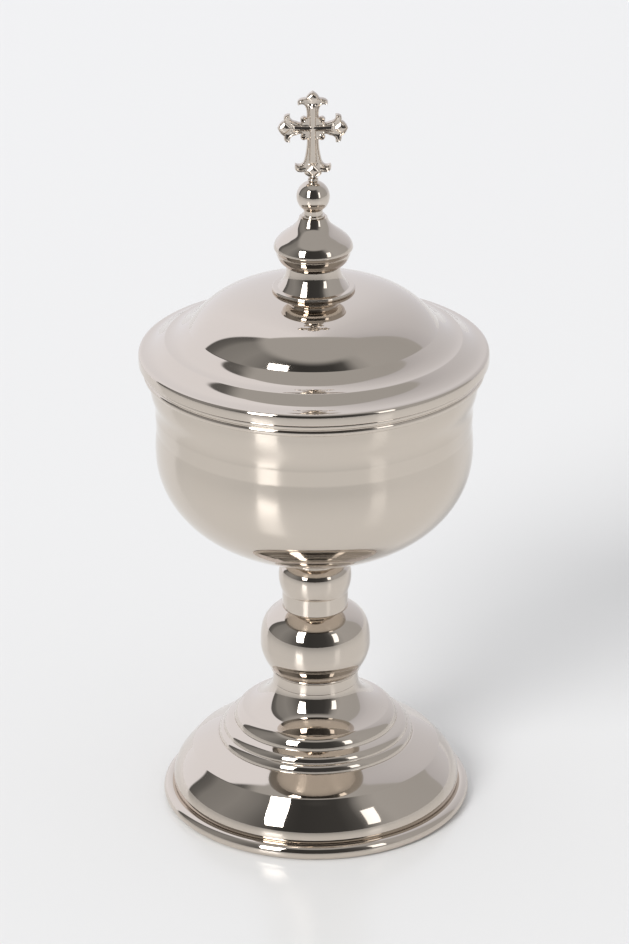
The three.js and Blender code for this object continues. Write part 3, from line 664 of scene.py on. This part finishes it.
ball_line = raised(softened(ball_line, TURNED_EDGE), BALL_SEAT)
turned("ball", ball_line, "cover", "knob_ball", around=AROUND_BALL)

# %% Bead under the cross
BEAD_SEAT = BALL_SEAT + ball_top
BEAD_RADIUS, BEAD_ROUND = 1.35, 0.6
bead_line = oval((BEAD_RADIUS, BEAD_HEIGHT / 2), BEAD_ROUND, BEAD_HEIGHT / 2, -90, 90, 20)
bead_line = raised(bore(bead_line, PIN_HOLE), BEAD_SEAT)
turned("pin_collar", bead_line, "cover", "cross_collar", around=AROUND_BEAD)

# %% [markdown]
# The cross: its outline
#
# The cross is the one piece that isn't turned. It is cast: four arms, each ending in a bud between two
# leaves whose tips curl back, and a small scroll in each corner. Its outline is drawn once for half an
# arm's end, mirrored, and turned round the middle, as a carver would with a template. An arm's points are
# how far they lie along the arm and out from its middle.

# %% Outline of the cross
ARM_HALF, SCROLL_PLACE, SCROLL_RADIUS, SCROLL_OPEN = 2.2, 3.3, 1.3, 36
TOP_ARM = [(6.6, 2.3), (10.0, 2.7), (8.6, 5.3), (11.5, 6.4), (11.7, 2.4), (12.9, 2.0), (14.1, 0.15)]
SIDE_ARM = [(6.0, 2.7), (8.6, 3.0), (8.2, 5.4), (10.9, 5.8), (10.5, 3.0), (11.8, 2.5), (12.8, 0.15)]
FOOT_ARM = [(11.7, 3.1), (14.6, 3.7), (13.4, 6.5), (17.6, 7.5), (16.8, 3.2), (17.9, 3.7), (19.0, 0.6)]
arm_start = SCROLL_PLACE + SCROLL_RADIUS * math.cos(math.radians(SCROLL_OPEN))


def arm_edge(arm):
    """One edge of an arm: along the arm, out to the leaf's curled tip, over the leaf, and round the bud."""
    hollow, hollow_pull, leaf_tip, leaf_pull, shoulder, bud_pull, end = arm
    return joined(
        bend((arm_start, ARM_HALF), ((arm_start + hollow[0]) / 2, ARM_HALF), hollow, 12),
        bend(hollow, hollow_pull, leaf_tip, 16),
        bend(leaf_tip, leaf_pull, shoulder, 18),
        bend(shoulder, bud_pull, end, 12),
    )


def turned_by(point, angle):
    """A point of the plane, turned round the middle."""
    c, s = math.cos(angle), math.sin(angle)
    return (point[0] * c - point[1] * s, point[0] * s + point[1] * c)


cross_outline = []
scroll_middle = (SCROLL_PLACE, SCROLL_PLACE)
scroll = oval(scroll_middle, SCROLL_RADIUS, SCROLL_RADIUS, -SCROLL_OPEN, 90 + SCROLL_OPEN, 20)
for quarter_turn, arm in enumerate([SIDE_ARM, TOP_ARM, SIDE_ARM, FOOT_ARM]):
    edge = arm_edge(arm)
    side = [(along, -out) for along, out in edge] + edge[::-1] + scroll
    cross_outline += [turned_by(point, quarter_turn * math.pi / 2) for point in side]
cross_outline = joined(cross_outline)
print("the cross's outline has", len(cross_outline), "points")

# %% [markdown]
# The cross: its relief
#
# The front of a cast cross is a low relief. It could be sculpted by hand, but a relief is only a height
# over each point of the outline, and a height can be written down: a round bar with a crest runs along each
# arm, a raised border follows the outline at a small distance, each leaf has a fold, the buds are pillows
# cut like lozenges, and the scrolls have an eye. The outline is filled with a fine net of points, and each
# point is lifted.

# %% Measures over the outline
def distance_to_line(points, line):
    """How far each point is from a closed line."""
    line = np.array(line)
    start, end = line, np.roll(line, -1, axis=0)
    span = end - start
    nearest = np.full(len(points), 1e9)
    for s, d in zip(start, span):
        share = np.clip(((points - s) @ d) / max(d @ d, 1e-12), 0, 1)
        nearest = np.minimum(nearest, np.linalg.norm(s + share[:, None] * d - points, axis=1))
    return nearest


def bump(x, centre, half):
    """A smooth rise and fall between centre - half and centre + half."""
    share = np.clip(np.abs(x - centre) / half, 0, 1)
    return np.cos(share * math.pi / 2) ** 2


def fade_in(x, start, length):
    """Goes straight from 0 to 1 over that length from start."""
    return np.clip((x - start) / length, 0, 1)


def half_round(x, half):
    """The height of a half round of height 1 and that half width."""
    return np.sqrt(np.clip(1 - (x / half) ** 2, 0, 1))


print("a bump is", bump(np.array([0.0]), 0, 1)[0], "high in its middle")

# %% Bar, bud, leaf and scroll
PLATE = 0.7
BORDER, BORDER_HALF, BORDER_RISE = 0.4, 0.42, 0.6
BAR_HALF, BAR_WIDENING, BAR_RISE, BAR_FADE, OVER_LENGTH = 1.05, 0.25, 0.85, 0.8, 4
CREST_HALF, CREST_RISE, CREST_UNDER = 0.28, 0.12, 0.3
BUD_HALF, BUD_WIDTH, BUD_RISE = 2.6, 2.4, 0.6
KNOT_HALF, KNOT_WIDTH, KNOT_RISE, KNOT_WAVES, KNOT_DIP = 0.45, 1.8, 0.3, 5.2, 0.25
LEAF_START, LEAF_FADE, LEAF_BACK, LEAF_BACK_FADE = 2.2, 2.0, 1.5, 1.0
FOLD, FOLD_HALF, FOLD_RISE = 1.1, 0.7, 0.45
EYE_RING, EYE_RING_HALF, EYE_RING_RISE, EYE_HALF, EYE_DEPTH = 0.75, 0.4, 0.28, 0.45, 0.45
EDGE_WIDTH, EDGE_FALL = 0.3, 0.42


def bar_height(x, z, along, out, bar_end):
    """The round bar of each arm with its crest. The upright bar runs over the other."""
    over = (np.abs(x) < BAR_HALF) & (np.abs(z) < OVER_LENGTH)
    fades = fade_in(bar_end - along, 0, BAR_FADE)
    widening = 1 + BAR_WIDENING * np.clip(along / bar_end, 0, 1) ** 2
    bar = half_round(out, BAR_HALF * widening)
    bar = np.where(over, np.maximum(bar, half_round(x, BAR_HALF)), bar)
    crest = bump(out, 0, CREST_HALF) * fades
    crest = np.where(over, np.maximum(bump(x, 0, CREST_HALF), crest * CREST_UNDER), crest)
    return BAR_RISE * bar * fades + CREST_RISE * crest


def end_height(along, out, tip, bar_end, edge_distance):
    """What an arm ends in: a knot, a bud cut like a lozenge, and a fold in each leaf."""
    waves = 1 - KNOT_DIP + KNOT_DIP * np.cos(out * KNOT_WAVES)
    knot = bump(along, bar_end, KNOT_HALF) * (out < KNOT_WIDTH) * waves
    bud = np.clip(1 - out / BUD_WIDTH - np.abs(along - tip + BUD_HALF) / BUD_HALF, 0, 1)
    leaf = fade_in(out, LEAF_START, LEAF_FADE) * fade_in(along - bar_end, -LEAF_BACK, LEAF_BACK_FADE)
    fold = leaf * bump(edge_distance, FOLD, FOLD_HALF)
    return KNOT_RISE * knot + BUD_RISE * (1 - (1 - bud) ** 2) + FOLD_RISE * fold


def scroll_height(x, z):
    """A ring round a small hollow in each scroll."""
    eye = np.hypot(np.abs(x) - SCROLL_PLACE, np.abs(z) - SCROLL_PLACE)
    return EYE_RING_RISE * bump(eye, EYE_RING, EYE_RING_HALF) - EYE_DEPTH * bump(eye, 0, EYE_HALF)


def relief(points, edge_distance):
    """The height of the cross's face over each point, in millimetres."""
    x, z = points[:, 0], points[:, 1]
    upright = np.abs(z) >= np.abs(x)
    along = np.where(upright, np.abs(z), np.abs(x))
    out = np.where(upright, np.abs(x), np.abs(z))
    tip = np.where(upright, np.where(z > 0, TOP_ARM[-1][0], FOOT_ARM[-1][0]), SIDE_ARM[-1][0])
    bar_end = tip - 2 * BUD_HALF
    height = PLATE + bar_height(x, z, along, out, bar_end)
    height += BORDER_RISE * bump(edge_distance, BORDER, BORDER_HALF)
    height += end_height(along, out, tip, bar_end, edge_distance) + scroll_height(x, z)
    return height - EDGE_FALL * (1 - fade_in(edge_distance, 0, EDGE_WIDTH)) ** 2


print("the ground of the cross is", 2 * PLATE, "mm thick")

# %% Net of points inside the outline
NET = 0.17
NET_TO_EDGE = 0.6

xs, zs = zip(*cross_outline)
across = np.arange(min(xs), max(xs), NET)
upward = np.arange(min(zs), max(zs), NET)
net = np.array([(x + (j % 2) * NET / 2, z) for j, z in enumerate(upward) for x in across])
loop = np.array(cross_outline)
inside = np.zeros(len(net), bool)
for (x1, z1), (x2, z2) in zip(loop, np.roll(loop, -1, axis=0)):
    crosses = (z1 > net[:, 1]) != (z2 > net[:, 1])
    if z1 != z2:
        inside ^= crosses & (net[:, 0] < (x2 - x1) * (net[:, 1] - z1) / (z2 - z1) + x1)
net = net[inside]
net = net[distance_to_line(net, cross_outline) > NET * NET_TO_EDGE]
print("the relief has", len(net), "inner points")

# %% Mesh of the cross
PIN_TOP = BEAD_SEAT + BEAD_HEIGHT
CROSS_MIDDLE = PIN_TOP + FOOT_ARM[-1][0]
CAST_ANGLE = math.radians(50)

count = len(cross_outline)
flat_points = [Vector(p) for p in cross_outline] + [Vector(p) for p in net]
ring_of_edges = [(i, (i + 1) % count) for i in range(count)]
flat_points, _, triangles, *_ = geometry.delaunay_2d_cdt(flat_points, ring_of_edges, [], 1, 1e-5)
flat = np.array([tuple(p) for p in flat_points])
heights = relief(flat, distance_to_line(flat, cross_outline))

work = bmesh.new()
front = [work.verts.new((x * MM, -h * MM, (z + CROSS_MIDDLE) * MM)) for (x, z), h in zip(flat, heights)]
back = [work.verts.new((x * MM, h * MM, (z + CROSS_MIDDLE) * MM)) for (x, z), h in zip(flat, heights)]
for a, b, c in triangles:
    work.faces.new((front[a], front[b], front[c]))
    work.faces.new((back[c], back[b], back[a]))
for i, j in ring_of_edges:
    work.faces.new((front[j], front[i], back[i], back[j]))
cross = add_piece("cast_cross", finished_mesh("cast_cross", work, CAST_ANGLE), "cover", polished)
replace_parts(cross, "cross")
print("the cross's middle is", round(CROSS_MIDDLE, 2), "mm up")

# %% Pin of the cross
PIN_RADIUS, PIN_REACH = 0.8, 1.8
pin_low, pin_high = PIN_TOP - PIN_DEPTH, PIN_TOP + PIN_REACH
pin_line = [(0, pin_low), (PIN_RADIUS, pin_low), (PIN_RADIUS, pin_high), (0, pin_high)]
add_piece("cross_pin", turned_mesh("cross_pin", pin_line, AROUND_PIN), "cover", polished)

# %% [markdown]
# The hardware inside
#
# The rod, bolt, nuts, washers and the socket under the cup are hidden, or seen only from below. Their
# shapes in the frame are right, so they stay, and only get their metal: steel with fine turning lines.

# %% Finish the carried-over pieces
for name in ("cup_socket", "tie_rod", "foot_washer", "tie_nut", "knob_bolt", "lid_washer", "knob_nut"):
    node_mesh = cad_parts[name].data
    node_mesh.materials.clear()
    node_mesh.materials.append(steel)
    print(name, "is now", steel.name)

# %% [markdown]
# The studio: the table
#
# Polished metal shows the room more than itself, so the room is part of the finish. Under the cup is a
# pale table that runs on to the back. A plane does for it: its edges stay out of every view. Its surface
# has a slight sheen, like smooth paper, so it also throws a soft streak of the lamp up at the cup.

# %% Table
TABLE_HALF = 6.0
TABLE_GREY = (0.86, 0.86, 0.86, 1)
TABLE_ROUGHNESS = 0.21

table_mesh = bpy.data.meshes.new("table")
corners = [(-TABLE_HALF, -TABLE_HALF, 0), (TABLE_HALF, -TABLE_HALF, 0), (TABLE_HALF, TABLE_HALF, 0),
           (-TABLE_HALF, TABLE_HALF, 0)]
table_mesh.from_pydata(corners, [], [(0, 1, 2, 3)])
table = bpy.data.objects.new("table", table_mesh)
bpy.context.scene.collection.objects.link(table)
paper = bpy.data.materials.new("pale_paper")
paper.use_nodes = True
paper_shader = paper.node_tree.nodes["Principled BSDF"]
paper_shader.inputs["Base Color"].default_value = TABLE_GREY
paper_shader.inputs["Roughness"].default_value = TABLE_ROUGHNESS
paper_shader.inputs["Specular IOR Level"].default_value = 0.5
table_mesh.materials.append(paper)
print("the table is", 2 * TABLE_HALF, "m wide")

# %% [markdown]
# The studio: the lamps
#
# The reflections tell where the lamps stood: a tall white one to the left of the camera, and a dimmer one
# to the right. Area lamps are right for both, because they are seen in the metal as the rectangles that
# they are. For the table, a lamp so near would leave a bright patch. So a wide, soft sun stands in the
# tall lamp's direction: it throws the same shadow to the right and back, and it isn't seen in the metal.

# %% Lamps
AIM = Vector((0, 0, 0.1))


def lamp(name, azimuth, elevation, distance, wide, high, brightness, roll):
    """A soft lamp that faces the cup. Azimuth 0 is towards the camera and grows to the right."""
    a, e = math.radians(azimuth), math.radians(elevation)
    towards = Vector((math.sin(a) * math.cos(e), -math.cos(a) * math.cos(e), math.sin(e)))
    data = bpy.data.lights.new(name, "AREA")
    data.shape = "RECTANGLE"
    data.size, data.size_y = wide, high
    data.energy = brightness * math.pi * wide * high
    light = bpy.data.objects.new(name, data)
    light.location = AIM + towards * distance
    turn = towards.to_track_quat("Z", "Y") @ Quaternion((0, 0, 1), math.radians(roll))
    light.rotation_euler = turn.to_euler()
    light.visible_camera = False
    light.visible_diffuse = False
    bpy.context.scene.collection.objects.link(light)
    return light


tall_lamp = lamp("tall_lamp_left", -36, 33, distance=1.4, wide=0.36, high=1.10, brightness=9.0, roll=9)
lamp("lamp_right", 47, 25, distance=1.4, wide=0.26, high=0.85, brightness=1.5, roll=-6)

sun_data = bpy.data.lights.new("soft_sun", "SUN")
sun_data.energy = 1.8
sun_data.angle = math.radians(24)
soft_sun = bpy.data.objects.new("soft_sun", sun_data)
soft_sun.rotation_euler = tall_lamp.rotation_euler
soft_sun.visible_glossy = False
bpy.context.scene.collection.objects.link(soft_sun)
print("lamps: a tall one, a dimmer one and a soft sun")

# %% [markdown]
# The studio: the room
#
# The rest of the room is what gives the metal its darks. The lid shows it like a map: white paper behind,
# whose front edge runs across overhead, a grey ceiling, a dim wall to each side, and the dark in front.
# It could be built of walls. A world shader does it with less: it has a brightness for each direction.
# The table is lit evenly, and straight to the camera the room shows as plain pale like it.

# %% Helpers for the room
world = bpy.data.worlds.new("room")
bpy.context.scene.world = world
world.use_nodes = True
room = world.node_tree


def feed(socket, value):
    """Gives a socket a plain value, or links another node's output to it."""
    if isinstance(value, bpy.types.NodeSocket):
        room.links.new(value, socket)
    else:
        socket.default_value = value


def worked_out(operation, first, second=0.0, third=0.0):
    """The result of one step of arithmetic."""
    node = room.nodes.new("ShaderNodeMath")
    node.operation = operation
    for socket, value in zip(node.inputs, (first, second, third)):
        feed(socket, value)
    return node.outputs[0]


def smooth(value, low, high):
    """Goes smoothly from 0 to 1 as the value goes from low to high."""
    node = room.nodes.new("ShaderNodeMapRange")
    node.interpolation_type = "SMOOTHSTEP"
    for name, entry in (("Value", value), ("From Min", low), ("From Max", high)):
        feed(node.inputs[name], entry)
    return node.outputs["Result"]


def ramp(value, stops):
    """A brightness from a list of (degrees round the horizon, brightness)."""
    node = room.nodes.new("ShaderNodeValToRGB")
    while len(node.color_ramp.elements) < len(stops):
        node.color_ramp.elements.new(0.5)
    for element, (degrees, bright) in zip(node.color_ramp.elements, stops):
        element.position = (degrees + 180) / 360
        element.color = (bright, bright, bright, 1)
    feed(node.inputs["Fac"], value)
    return node.outputs["Color"]


def mixed(share, first, second, blend="MIX"):
    """From the first colour to the second as the share goes from 0 to 1."""
    node = room.nodes.new("ShaderNodeMix")
    node.data_type = "RGBA"
    node.blend_type = blend
    for name, entry in (("Factor", share), ("A", first), ("B", second)):
        feed(node.inputs[name], entry)
    return node.outputs["Result"]


print("the room is painted in", world.name)

# %% Directions in the room
split = room.nodes.new("ShaderNodeSeparateXYZ")
feed(split.inputs[0], room.nodes.new("ShaderNodeTexCoord").outputs["Generated"])
x, y, z = split.outputs
toward = worked_out("MULTIPLY", y, -1.0)
level = worked_out("SQRT", worked_out("ADD", worked_out("MULTIPLY", x, x), worked_out("MULTIPLY", y, y)))
degrees_up = worked_out("MULTIPLY", worked_out("ARCTAN2", z, level), 180 / math.pi)
degrees_round = worked_out("MULTIPLY", worked_out("ARCTAN2", x, toward), 180 / math.pi)
place_round = worked_out("MULTIPLY_ADD", degrees_round, 1 / 360, 0.5)
print("directions: degrees up, and degrees round from the camera")

# %% Walls, ceiling and paper
CEILING = (0.49, 0.49, 0.49, 1)
CEILING_START, CEILING_FULL = 56.0, 65.0
PAPER_TINT = (0.98, 0.99, 1.06, 1)
PAPER_TOP, PAPER_SIDE, PAPER_EDGE = 0.21, 0.54, 0.02

walls = ramp(place_round, [
    (-180, 0.1), (-122, 0.1), (-110, 0.17), (-104, 0.28), (-80, 0.33), (-62, 0.26), (-48, 0.17),
    (-28, 0.06), (-15, 0.05), (22, 0.06), (36, 0.10), (50, 0.40), (64, 0.50), (110, 0.48), (122, 0.5),
    (180, 0.5)])
paper_glow = ramp(place_round, [
    (-180, 0.94), (-150, 1.04), (-120, 1.04), (-60, 1.0), (0, 0.9), (60, 0.6), (118, 0.62), (135, 0.72),
    (160, 0.80), (180, 0.94)])
overhead = smooth(degrees_up, CEILING_START, CEILING_FULL)
wall_and_ceiling = mixed(overhead, walls, CEILING)
paper_top = worked_out("MULTIPLY", worked_out("MAXIMUM", z, 0.0), PAPER_TOP)
paper_side = worked_out("MULTIPLY", worked_out("ABSOLUTE", x), PAPER_SIDE)
beyond = worked_out("SUBTRACT", y, worked_out("MAXIMUM", paper_top, paper_side))
on_paper = smooth(beyond, -PAPER_EDGE, PAPER_EDGE)
shade = mixed(on_paper, wall_and_ceiling, mixed(1.0, paper_glow, PAPER_TINT, "MULTIPLY"))
print("the ceiling starts", CEILING_START, "degrees up")

# %% What the table and the camera see of it
TABLE_LIGHT = (0.70, 0.70, 0.70, 1)
PALE_BACK = (0.83, 0.83, 0.83, 1)

background = room.nodes["Background"]
light_path = room.nodes.new("ShaderNodeLightPath").outputs
on_table = mixed(light_path["Is Diffuse Ray"], shade, TABLE_LIGHT)
feed(background.inputs["Color"], mixed(light_path["Is Camera Ray"], on_table, PALE_BACK))
background.inputs["Strength"].default_value = 1.0
bpy.context.scene.view_settings.view_transform = "Standard"
print("the room has", len(room.nodes), "nodes")
